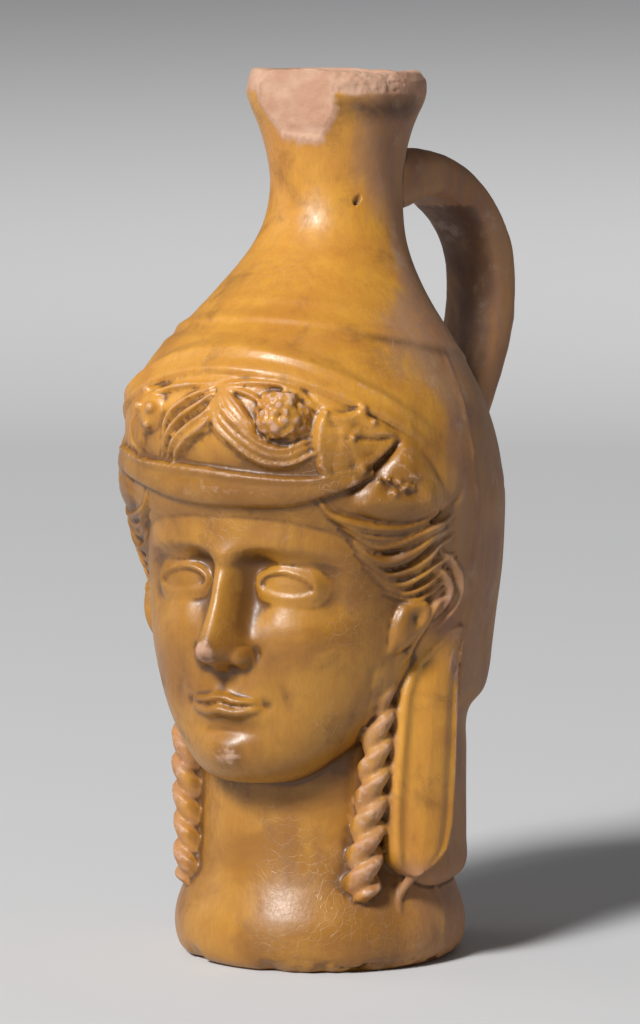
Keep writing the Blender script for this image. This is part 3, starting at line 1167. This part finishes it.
def surfaceMasks(piece):
    # how far each point lies in a hollow or stands proud, and where the flask is thin glazed or stained
    mesh = piece.data
    verts, edges = meshArrays(mesh)
    count = len(verts)
    degree = np.bincount(edges.ravel(), minlength=count).astype(float)
    normals = np.empty(count * 3)
    mesh.vertex_normals.foreach_get("vector", normals)
    normals = normals.reshape(-1, 3)
    soft = verts.copy()
    depths = {}
    for n in range(61):
        soft = soft + 0.6 * (neighbourMean(soft, edges, count, degree) - soft)
        if n in (2, 12, 60):
            depths[n] = ((soft - verts) * normals).sum(1) / mm
    x, y, z = (verts / mm).T
    inner = wallAt(wallHeight(z))
    theta = np.degrees(np.arctan2(x, -(y - inner[:, 0])))
    axis = np.stack([0 * y, inner[:, 0]], 1)
    wallReach = np.linalg.norm(onWall(theta, wallHeight(z))[:, :2] - axis, axis=1)
    out = np.hypot(x, y - inner[:, 0]) - wallReach
    strap = step(out, 1.5, 4.5) * (y > 8) * (z > 90)
    warp = 15 * smoothNoise(verts / mm, 22, 31, 4)
    onFoot = 1 - step(z, 8, 20)
    thin = step(theta + warp, 44 + 14 * step(z, 20, 60), 92) * step(z, 8, 20)
    thin = thin + 0.55 * step(theta + warp, 45, 85) * onFoot
    thin = np.maximum(thin, step(-theta + warp, 84, 112))
    thin = np.maximum(thin, 0.85 * step(theta + warp, 24, 76) * step(z, 146, 168))
    thin = np.maximum(thin, strap)
    stain = 1.0 * bell(z - 181.3, 2.3) * step(theta, 14, 30) * (1 - step(theta, 84, 120))
    stepZ = wreath["shoulderStep"] - wreath["shoulderFall"] * (1 - np.cos(np.radians(theta)))
    underStep = bell(z - stepZ + 1.6, 0.9) * step(theta, 40, 58) * (1 - step(theta, 84, 100))
    stain = np.maximum(stain, 0.8 * underStep)
    around = math.radians(handle["turn"])
    reach = x * math.sin(around) + (y - flaskSizes["spoutSetback"]) * math.cos(around)
    falling = handleLine[2:]  # from here on the strap only runs down
    strapAt = curveThrough([[-row[1], row[0]] for row in falling])
    strapAt = strapAt(-np.clip(z, falling[-1][1], falling[0][1]))[:, 0]
    innerFace = strap * step(strapAt - reach, 2.0, 4.5) * (z < 160)
    stain = np.maximum(stain, 0.8 * innerFace)
    ragged = 1.2 * smoothNoise(verts / mm, 4.5, 41, 3)
    bareRim = step(z + ragged, 183.6, 184.8)
    lean, turn = math.radians(lipFlake["lean"]), math.radians(lipFlake["angle"])
    px, py, pz = x, y - flaskSizes["spoutSetback"] + lipFlake["distance"], z - lipFlake["middleZ"]
    ahead = -px * math.sin(turn) + py * math.cos(turn)
    off = ahead * math.cos(lean) + pz * math.sin(lean)
    fresh = step(0.75 - off, -0.1, 0.1) * step(pz + 0.1 * px, -9.1, -8.8)
    fresh = fresh * (1 - step(np.abs(px + 0.5), 9.5, 9.9))
    fresh = fresh * (y < flaskSizes["spoutSetback"] - 12)
    bareRim = np.maximum(bareRim, fresh)
    chip = bell(theta - 83.5, 2.4) * bell(z - 65, 4.6) + 0.16 * ragged
    bareRim = np.maximum(bareRim, step(chip, 0.42, 0.56))
    stain = stain * (1 - fresh)
    berry = onWall(np.array(corymb["degrees"]), np.array(corymb["z"]), 1.0)
    rubbed = 0.4 * step(7.5 - np.linalg.norm(verts / mm - berry, axis=1), 0, 2)
    along = (z - lock["bottomZ"]) / (lock["topZ"] - lock["bottomZ"])
    lockTheta = lock["bottomDegrees"] + (lock["topDegrees"] - lock["bottomDegrees"]) * along
    onLock = step(7.5 - np.abs(np.abs(theta) - lockTheta), 0, 2) * step(z, 14, 18) * (1 - step(z, 60, 70))
    rubbed = np.maximum(rubbed, 0.22 * onLock * (out < 20))
    seamEdge = bell(np.abs(theta) - 84.6, 2.4) * step(z, 24, 30) * (1 - step(z, 68, 74))
    rubbed = np.maximum(rubbed, 1.0 * seamEdge)
    # the nose and the chin stand out, so they are rubbed brown
    for spot, size in (((0, -49, noseBaseZ + 3.5), 4.2), ((1, -42, faceRule["chinZ"] + 4), 5.5)):
        worn = 1 - step(np.linalg.norm(verts / mm - np.array(spot), axis=1) + ragged, size * 0.4, size)
        rubbed = np.maximum(rubbed, 0.3 * worn)
        stain = np.maximum(stain, 0.5 * worn)
    # the glaze lies thicker over the face, the hair and the throat
    veil = (0.44 + 0.12 * bell(z - 110, 9)) * (1 - step(z, 104, 128)) * (1 - step(np.abs(theta), 58, 74))
    veil = veil + 0.22 * bell(np.abs(theta) - 56, 13) * bell(z - 88, 10)
    wreathBand = 0.2 * step(z, 98, 104) * (1 - step(z, 124, 130)) * (1 - step(np.abs(theta), 66, 78))
    rubbed = np.maximum(rubbed, wreathBand)
    onLappet = step(np.abs(theta), 57, 60) * (1 - step(np.abs(theta), 85, 90))
    onLappet = onLappet * step(z, 20, 26) * (1 - step(z, 66, 74))
    thin = np.maximum(thin * (1 - 0.9 * onLappet), 0.5 * onLock * (out < 20))
    veil = veil * (1 - onLappet) * (1 - onLock)
    pool = 0.6 * step(depths[12], 0.02, 0.4) + 0.6 * step(depths[60], 0.1, 1.1) + veil
    crease, proud = step(depths[12], 0.1, 0.42), step(-depths[12], 0.03, 0.3)
    edge = step(-depths[2], 0.02, 0.09)
    for name, values in (("pool", pool), ("crease", crease), ("proud", proud), ("edge", edge),
                         ("thin", thin), ("stain", stain), ("bareRim", bareRim), ("rubbed", rubbed)):
        layer = mesh.attributes.new(name, "FLOAT", "POINT")
        layer.data.foreach_set("value", np.clip(values, 0, 1).astype(np.float32))
    print("masks", len(verts))


def clayFaces(piece):
    # the hollow and the underside show bare clay
    mesh = piece.data
    centres = np.empty(len(mesh.polygons) * 3)
    mesh.polygons.foreach_get("center", centres)
    x, y, z = (centres.reshape(-1, 3) / mm).T
    table = curveThrough(hollowStations)(np.clip(z, hollowStations[0][0], hollowStations[-1][0]))
    angle = np.arctan2(x, -(y - table[:, 0]))
    rim = ovalPoint(table, angle, z, 0.0)
    reach = np.hypot(rim[:, 0], rim[:, 1] - table[:, 0])
    inside = (np.hypot(x, y - table[:, 0]) < reach + 0.7) & (z > 5.5)
    under = z < 0.25
    mesh.polygons.foreach_set("material_index", (inside | under).astype(np.int32))


# shading: effects that both materials use are groups

def shaderGroup(name, inputs, outputs):
    tree = bpy.data.node_groups.new(name, "ShaderNodeTree")
    for label, value in inputs:
        kind = "NodeSocketVector" if value is None else "NodeSocketFloat"
        socket = tree.interface.new_socket(label, in_out="INPUT", socket_type=kind)
        if value is not None:
            socket.default_value = value
    for label in outputs:
        tree.interface.new_socket(label, in_out="OUTPUT", socket_type="NodeSocketFloat")
    return tree, addNode(tree, "NodeGroupInput").outputs, addNode(tree, "NodeGroupOutput").inputs


def feed(tree, socket, value):
    if isinstance(value, (int, float, tuple)):
        socket.default_value = value
    else:
        tree.links.new(value, socket)


def noise(tree, vector, scale, detail=4.0, roughness=0.55, distortion=0.0):
    node = addNode(tree, "ShaderNodeTexNoise")
    feed(tree, node.inputs["Vector"], vector)
    feed(tree, node.inputs["Scale"], scale)
    node.inputs["Detail"].default_value = detail
    node.inputs["Roughness"].default_value = roughness
    node.inputs["Distortion"].default_value = distortion
    return node.outputs["Fac"]


def remap(tree, value, low, high, start=0.0, end=1.0):
    node = addNode(tree, "ShaderNodeMapRange", interpolation_type="SMOOTHSTEP")
    for socket, given in zip(node.inputs, (value, low, high, start, end)):
        feed(tree, socket, given)
    return node.outputs["Result"]


def blend(tree, factor, first, second):
    node = addNode(tree, "ShaderNodeMix", data_type="RGBA")
    feed(tree, node.inputs[0], factor)
    feed(tree, node.inputs[6], first)
    feed(tree, node.inputs[7], second)
    return node.outputs[2]


def stretched(tree, vector, amounts):
    node = addNode(tree, "ShaderNodeMapping")
    feed(tree, node.inputs["Vector"], vector)
    node.inputs["Scale"].default_value = amounts
    return node.outputs["Vector"]


def gritGroup():
    # sandy grain: a speckle mask and a height
    tree, enter, leave = shaderGroup("grit", [("Vector", None), ("Scale", 900.0), ("Cover", 0.5)],
                                     ["Speckle", "Height"])
    fine = noise(tree, enter["Vector"], enter["Scale"], 5.0, 0.7)
    coarse = noise(tree, enter["Vector"], times(tree, enter["Scale"], 0.27), 3.0, 0.6)
    low = minus(tree, 0.86, times(tree, enter["Cover"], 0.36))
    speckle = remap(tree, fine, low, plus(tree, low, 0.07))
    height = plus(tree, fine, times(tree, coarse, 0.8))
    tree.links.new(speckle, leave["Speckle"])
    tree.links.new(height, leave["Height"])
    return tree


def streakGroup():
    # glaze that ran down the wall: long soft streaks and broad clouds
    tree, enter, leave = shaderGroup("streaks", [("Vector", None), ("Scale", 850.0), ("Clouds", 60.0)],
                                     ["Streak", "Fine", "Cloud"])
    tall = stretched(tree, enter["Vector"], (1.0, 1.0, 0.09))
    streak = noise(tree, tall, times(tree, enter["Scale"], 0.55), 3.0, 0.6, 0.3)
    short = stretched(tree, enter["Vector"], (1.0, 1.0, 0.16))
    fine = noise(tree, short, times(tree, enter["Scale"], 2.6), 3.0, 0.6)
    cloud = noise(tree, enter["Vector"], enter["Clouds"], 4.0, 0.55, 0.6)
    tree.links.new(remap(tree, streak, 0.32, 0.68), leave["Streak"])
    tree.links.new(remap(tree, fine, 0.35, 0.68), leave["Fine"])
    tree.links.new(remap(tree, cloud, 0.34, 0.66), leave["Cloud"])
    return tree


def crazingGroup():
    # the fine net of cracks in an old glaze
    tree, enter, leave = shaderGroup("crazing", [("Vector", None), ("Scale", 480.0), ("Width", 0.022)],
                                     ["Line"])
    wander = addNode(tree, "ShaderNodeTexNoise")
    feed(tree, wander.inputs["Vector"], enter["Vector"])
    wander.inputs["Scale"].default_value = 160.0
    shift = addNode(tree, "ShaderNodeVectorMath", operation="SCALE")
    tree.links.new(wander.outputs["Color"], shift.inputs[0])
    shift.inputs["Scale"].default_value = 0.006
    moved = addNode(tree, "ShaderNodeVectorMath", operation="ADD")
    tree.links.new(enter["Vector"], moved.inputs[0])
    tree.links.new(shift.outputs[0], moved.inputs[1])
    cells = addNode(tree, "ShaderNodeTexVoronoi", feature="DISTANCE_TO_EDGE")
    feed(tree, cells.inputs["Vector"], moved.outputs[0])
    feed(tree, cells.inputs["Scale"], enter["Scale"])
    line = remap(tree, cells.outputs["Distance"], 0.0, enter["Width"], 1.0, 0.0)
    broken = remap(tree, noise(tree, enter["Vector"], 45.0, 3.0), 0.42, 0.7)
    tree.links.new(times(tree, line, broken), leave["Line"])
    return tree


def placeGroup(tree, group, vector, **values):
    node = addNode(tree, "ShaderNodeGroup", node_tree=group)
    feed(tree, node.inputs["Vector"], vector)
    for label, value in values.items():
        node.inputs[label.capitalize()].default_value = value
    return node.outputs


def attribute(tree, name):
    node = addNode(tree, "ShaderNodeAttribute", attribute_name=name)
    return node.outputs["Fac"]


def bump(tree, height, strength, distance, normal=None):
    node = addNode(tree, "ShaderNodeBump")
    node.inputs["Strength"].default_value = strength
    node.inputs["Distance"].default_value = distance
    feed(tree, node.inputs["Height"], height)
    if normal is not None:
        tree.links.new(normal, node.inputs["Normal"])
    return node.outputs["Normal"]


grit, streaks, crazing = gritGroup(), streakGroup(), crazingGroup()

clayLook = {"body": (0.43, 0.235, 0.15, 1), "pale": (0.50, 0.31, 0.21, 1), "dark": (0.23, 0.12, 0.07, 1)}
glazeLook = {
    "amber": (0.56, 0.265, 0.030, 1), "honey": (0.45, 0.19, 0.022, 1), "orange": (0.43, 0.16, 0.026, 1),
    "brown": (0.13, 0.050, 0.005, 1), "umber": (0.036, 0.015, 0.007, 1),
    "rust": (0.12, 0.035, 0.016, 1), "earth": (0.46, 0.35, 0.26, 1), "matt": (0.33, 0.178, 0.090, 1),
    "mauve": (0.26, 0.125, 0.078, 1), "craze": (0.74, 0.60, 0.42, 1),
}
# how strong each effect is, from 0 to 1, and the gloss
glazeFinish = {
    "streaks": 0.32, "blotches": 0.52, "speckle": 0.6, "iron": 0.55, "crazing": 0.2, "wear": 0.85,
    "roughness": 0.36, "coat": 0.12, "coatRoughness": 0.25,
}


def clayColour(tree, vector):
    grain = placeGroup(tree, grit, vector, scale=1500.0, cover=0.35)
    patches = remap(tree, noise(tree, vector, 130.0, 4.0), 0.38, 0.66)
    colour = blend(tree, patches, clayLook["body"], clayLook["pale"])
    return blend(tree, times(tree, grain["Speckle"], 0.7), colour, clayLook["dark"]), grain["Height"]


def clayMaterial():
    material = bpy.data.materials.new("firedClay")
    material.use_nodes = True
    tree = material.node_tree
    shader = tree.nodes["Principled BSDF"]
    vector = addNode(tree, "ShaderNodeTexCoord").outputs["Object"]
    colour, height = clayColour(tree, vector)
    tree.links.new(colour, shader.inputs["Base Color"])
    shader.inputs["Roughness"].default_value = 0.92
    tree.links.new(bump(tree, height, 0.55, 0.0004), shader.inputs["Normal"])
    return material


def glazeMaterial():
    material = bpy.data.materials.new("leadGlaze")
    material.use_nodes = True
    tree = material.node_tree
    shader = tree.nodes["Principled BSDF"]
    look, finish = glazeLook, glazeFinish
    vector = addNode(tree, "ShaderNodeTexCoord").outputs["Object"]
    pool, crease, proud, edge = (attribute(tree, n) for n in ("pool", "crease", "proud", "edge"))
    thin, stain, bareRim, rubbed = (attribute(tree, n) for n in ("thin", "stain", "bareRim", "rubbed"))
    run = placeGroup(tree, streaks, vector)
    # the glaze over sound clay
    colour = blend(tree, run["Cloud"], look["amber"], look["honey"])
    colour = blend(tree, times(tree, run["Streak"], finish["streaks"]), colour, look["orange"])
    colour = blend(tree, times(tree, run["Fine"], 0.1), colour, look["brown"])
    blotch = remap(tree, noise(tree, vector, 95.0, 6.0, 0.65, 0.4), 0.5, 0.74)
    colour = blend(tree, times(tree, blotch, finish["blotches"]), colour, look["brown"])
    # where it was thin it fired matt and brown
    mattColour = blend(tree, run["Cloud"], look["matt"], look["mauve"])
    mattColour = blend(tree, times(tree, run["Streak"], 0.35), mattColour, look["honey"])
    thinMask = remap(tree, plus(tree, thin, times(tree, run["Streak"], 0.25)), 0.2, 0.95)
    colour = blend(tree, thinMask, colour, mattColour)
    # it pooled dark in the hollows
    poolMask = plus(tree, pool, times(tree, run["Cloud"], 0.12))
    colour = blend(tree, remap(tree, poolMask, 0.1, 0.9), colour, look["brown"])
    dark = times(tree, larger(tree, times(tree, crease, 0.7), stain), 0.8)
    colour = blend(tree, times(tree, dark, remap(tree, run["Cloud"], -0.8, 1.0)), colour, look["umber"])
    specks = placeGroup(tree, grit, vector, scale=780.0, cover=0.5)
    colour = blend(tree, times(tree, specks["Speckle"], finish["speckle"]), colour, look["brown"])
    iron = placeGroup(tree, grit, vector, scale=320.0, cover=0.34)
    colour = blend(tree, times(tree, iron["Speckle"], finish["iron"]), colour, look["rust"])
    lines = placeGroup(tree, crazing, vector)
    hairline = times(tree, lines["Line"], minus(tree, finish["crazing"], times(tree, thin, 0.17)))
    colour = blend(tree, hairline, colour, look["craze"])
    # pale earth still clings where the glaze is matt
    earth = remap(tree, noise(tree, vector, 85.0, 6.0, 0.68), 0.55, 0.72)
    earth = times(tree, earth, plus(tree, 0.03, times(tree, thinMask, 0.42)))
    colour = blend(tree, earth, colour, look["earth"])
    # it wore through to the clay on what stands proud
    clay, clayHeight = clayColour(tree, vector)
    chipNoise = noise(tree, vector, 520.0, 5.0, 0.65)
    exposed = times(tree, rubbed, plus(tree, proud, times(tree, edge, 0.6)))
    exposed = plus(tree, exposed, times(tree, edge, 0.12))
    wear = times(tree, remap(tree, plus(tree, exposed, chipNoise), 0.73, 1.15), finish["wear"])
    wear = larger(tree, wear, bareRim)
    colour = blend(tree, wear, colour, clay)
    tree.links.new(colour, shader.inputs["Base Color"])
    dull = larger(tree, wear, times(tree, thinMask, 0.45))
    rough = plus(tree, finish["roughness"], times(tree, dull, 0.58))
    rough = plus(tree, rough, times(tree, run["Fine"], 0.1))
    rough = plus(tree, rough, times(tree, plus(tree, crease, blotch), 0.2))
    tree.links.new(rough, shader.inputs["Roughness"])
    shader.inputs["IOR"].default_value = 1.5
    shader.inputs["Specular IOR Level"].default_value = 0.5
    gloss = minus(tree, 1.0, larger(tree, wear, times(tree, thinMask, 0.85)))
    tree.links.new(times(tree, gloss, finish["coat"]), shader.inputs["Coat Weight"])
    shader.inputs["Coat Roughness"].default_value = finish["coatRoughness"]
    waves = bump(tree, noise(tree, vector, 210.0, 3.0, 0.5), 0.25, 0.0005)
    relief = times(tree, specks["Height"], 0.35)
    relief = plus(tree, relief, times(tree, clayHeight, times(tree, wear, 1.1)))
    relief = minus(tree, relief, times(tree, lines["Line"], 0.25))
    relief = minus(tree, relief, times(tree, wear, 0.35))
    tree.links.new(bump(tree, relief, 0.35, 0.0004, waves), shader.inputs["Normal"])
    return material


flask = makeFlask()
flask.data.materials.clear()
flask.data.materials.append(glazeMaterial())
flask.data.materials.append(clayMaterial())
surfaceMasks(flask)
clayFaces(flask)
flask.data.polygons.foreach_set("use_smooth", np.ones(len(flask.data.polygons), bool))
flask.data.update()

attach(flask, "root")
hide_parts("head_flask")

# the floor, the lights and the camera

stageSizes = {"flat": 1.35, "edge": 2.7, "lift": 1.3, "rings": 40, "spokes": 96,
              "nearColour": (0.57, 0.57, 0.572, 1), "farColour": (0.165, 0.165, 0.169, 1)}


def studioFloor():
    # a flat floor that rises softly all round, so there is no horizon
    s = stageSizes
    t = np.linspace(0, 1, s["rings"])
    reach = np.concatenate([np.linspace(0.1, s["flat"], 12), s["flat"] + (s["edge"] - s["flat"]) * t[1:]])
    height = np.concatenate([np.zeros(12), s["lift"] * t[1:] ** 2.2])
    angle = np.linspace(0, 2 * math.pi, s["spokes"], endpoint=False)
    verts = np.stack([reach[:, None] * np.cos(angle), reach[:, None] * np.sin(angle),
                      np.broadcast_to(height[:, None], (len(reach), len(angle)))], -1).reshape(-1, 3)
    n = len(angle)
    faces = [[j * n + i, (j + 1) * n + i, (j + 1) * n + (i + 1) % n, j * n + (i + 1) % n]
             for j in range(len(reach) - 1) for i in range(n)]
    faces += [[len(verts), i, (i + 1) % n] for i in range(n)]
    piece = meshObject("floor", np.concatenate([verts, [[0, 0, 0]]]) / mm, faces)
    piece.data.polygons.foreach_set("use_smooth", np.ones(len(faces), bool))
    material = bpy.data.materials.new("palePaper")
    material.use_nodes = True
    tree = material.node_tree
    shader = tree.nodes["Principled BSDF"]
    split = addNode(tree, "ShaderNodeSeparateXYZ")
    tree.links.new(addNode(tree, "ShaderNodeTexCoord").outputs["Object"], split.inputs[0])
    up = remap(tree, split.outputs["Z"], 0.04, 0.3)
    tree.links.new(blend(tree, up, s["nearColour"], s["farColour"]), shader.inputs["Base Color"])
    shader.inputs["Roughness"].default_value = 0.85
    piece.data.materials.append(material)
    return piece


studioFloor()


def placeLight(data, degrees, height, distance, aim):
    turn, up = math.radians(degrees), math.radians(height)
    away = Vector((math.sin(turn) * math.cos(up), -math.cos(turn) * math.cos(up), math.sin(up))) * distance
    light = bpy.data.objects.new(data.name, data)
    light.location = away + Vector((0, 0, aim))
    light.rotation_euler = (-away).to_track_quat("-Z", "Y").to_euler()
    bpy.context.scene.collection.objects.link(light)


def areaLight(name, degrees, height, distance, size, power):
    data = bpy.data.lights.new(name, "AREA")
    data.shape = "RECTANGLE"
    data.size, data.size_y = size
    data.energy = power
    placeLight(data, degrees, height, distance, 0.09)


def sunLight(name, degrees, height, spread, strength):
    data = bpy.data.lights.new(name, "SUN")
    data.energy = strength
    data.angle = math.radians(spread)
    placeLight(data, degrees, height, 1.0, 0.0)


sunLight("daylight", -4, 39, 12, 3.05)
areaLight("windowLight", -8, 34, 1.5, (0.4, 0.5), 12)
areaLight("leftSoftbox", -75, 22, 1.4, (0.7, 1.0), 2.5)
world = bpy.data.worlds.new("studio")
bpy.context.scene.world = world
world.use_nodes = True
world.node_tree.nodes["Background"].inputs["Color"].default_value = (0.8, 0.8, 0.82, 1)
world.node_tree.nodes["Background"].inputs["Strength"].default_value = 0.165
bpy.context.scene.view_settings.view_transform = "Standard"

shot = {"degrees": 30.0, "distance": 1.0, "height": 0.19, "aimHeight": 0.09495, "lens": 164.4}
cameraData = bpy.data.cameras.new("camera")
cameraData.lens = shot["lens"]
camera = bpy.data.objects.new("camera", cameraData)
turn = math.radians(shot["degrees"])
camera.location = (shot["distance"] * math.sin(turn), -shot["distance"] * math.cos(turn), shot["height"])
ahead = Vector((0, 0, shot["aimHeight"])) - camera.location
camera.rotation_euler = ahead.to_track_quat("-Z", "Y").to_euler()
bpy.context.scene.collection.objects.link(camera)
bpy.context.scene.camera = camera
